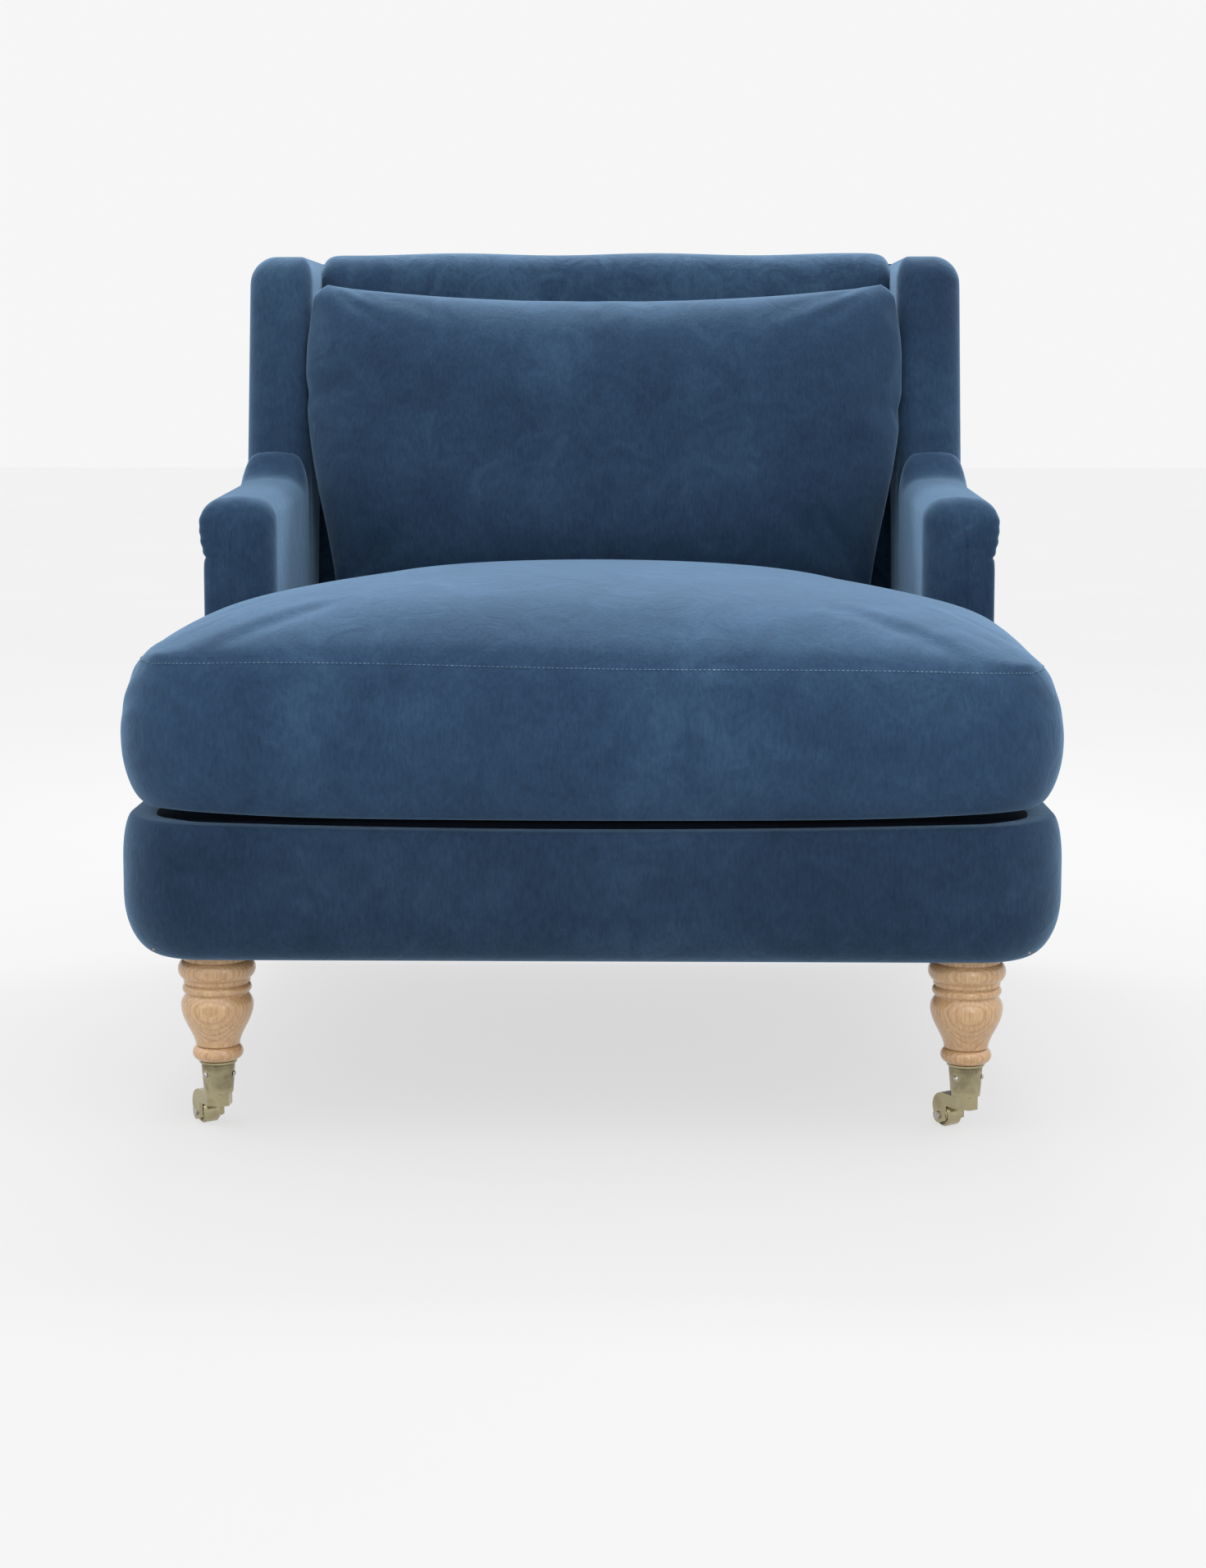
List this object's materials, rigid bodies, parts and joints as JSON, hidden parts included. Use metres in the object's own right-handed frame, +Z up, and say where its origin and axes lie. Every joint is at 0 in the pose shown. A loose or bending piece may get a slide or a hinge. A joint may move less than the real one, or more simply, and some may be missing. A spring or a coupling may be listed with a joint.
{
  "type": "upholstered armchair",
  "caption": "Deep velvet armchair with low arms, winged back, T-shaped loose seat cushion, loose back cushion, turned front legs on cup casters and raked rear legs.",
  "frame": {"origin": "on the floor under the centre of the chair's bounding box", "axes": "+X to the right as seen from in front, the front faces -Y, +Z up"},
  "size_m": [0.928, 1.04, 0.896],
  "materials": {
    "velvet": "matte",
    "foam": "matte",
    "beech": "satin",
    "oak": "satin",
    "spring_steel": "satin",
    "steel": "satin",
    "webbing": "matte",
    "dust_cloth": "matte",
    "nylon": "matte",
    "zip_tape": "matte",
    "antique_brass": "satin"
  },
  "bodies": {
    "chair": {"front_rail": "beech", "rear_rail": "beech", "left_side_rail": "beech", "right_side_rail": "beech", "corner_blocks": "beech", "left_arm_post": "beech", "right_arm_post": "beech", "left_arm_rail": "beech", "right_arm_rail": "beech", "left_wing_post": "beech", "right_wing_post": "beech", "left_back_post": "beech", "right_back_post": "beech", "back_top_rail": "beech", "back_lower_rail": "beech", "seat_springs": "spring_steel", "spring_clips": "spring_steel", "back_webbing": "webbing", "deck_pad": "velvet", "base_padding": "foam", "base_cover": "velvet", "dust_cover": "dust_cloth", "left_arm_pad": "foam", "right_arm_pad": "foam", "left_arm_cover": "velvet", "right_arm_cover": "velvet", "left_outside_arm": "velvet", "right_outside_arm": "velvet", "left_wing_pad": "foam", "right_wing_pad": "foam", "left_wing_cover": "velvet", "right_wing_cover": "velvet", "back_pad": "foam", "inside_back_cover": "velvet", "outside_back_cover": "velvet", "left_front_leg": "oak", "right_front_leg": "oak", "left_rear_leg": "oak", "right_rear_leg": "oak", "leg_bolts": "steel", "leg_plates": "steel", "rear_glides": "nylon", "left_caster_cup": "antique_brass", "right_caster_cup": "antique_brass", "caster_screws": "steel"},
    "seat_cushion": {"seat_cushion_core": "foam", "seat_cushion_cover": "velvet", "seat_zip_tape": "zip_tape"},
    "zip_slider": {"seat_zip_slider": "antique_brass"},
    "back_cushion": {"back_cushion_core": "foam", "back_cushion_cover": "velvet"},
    "left_swivel": {"left_caster_horn": "antique_brass", "left_caster_pin": "steel", "left_caster_axle": "steel"},
    "left_wheel": {"left_caster_wheel": "antique_brass"},
    "right_swivel": {"right_caster_horn": "antique_brass", "right_caster_pin": "steel", "right_caster_axle": "steel"},
    "right_wheel": {"right_caster_wheel": "antique_brass"}
  },
  "joints": [
    {"name": "seat_cushion_lift", "type": "slide", "parent": "chair", "child": "seat_cushion", "axis": [0, 0, 1], "range_m": [0, 0.32]},
    {"name": "back_cushion_lift", "type": "slide", "parent": "seat_cushion", "child": "back_cushion", "axis": [0, 0, 1], "range_m": [0, 0.25]},
    {"name": "zip_slide", "type": "slide", "parent": "seat_cushion", "child": "zip_slider", "axis": [1, 0, 0], "range_m": [0, 0.496]},
    {"name": "left_caster_swivel", "type": "hinge", "parent": "chair", "child": "left_swivel", "pos_m": [-0.371, -0.4435, 0.03], "axis": [0, 0, 1], "continuous": true},
    {"name": "left_wheel_roll", "type": "hinge", "parent": "left_swivel", "child": "left_wheel", "pos_m": [-0.38498, -0.42277, 0.012], "axis": [-0.829, -0.5592, 0], "continuous": true},
    {"name": "right_caster_swivel", "type": "hinge", "parent": "chair", "child": "right_swivel", "pos_m": [0.371, -0.4435, 0.03], "axis": [0, 0, 1], "continuous": true},
    {"name": "right_wheel_roll", "type": "hinge", "parent": "right_swivel", "child": "right_wheel", "pos_m": [0.35702, -0.42277, 0.012], "axis": [-0.829, -0.5592, 0], "continuous": true}
  ]
}
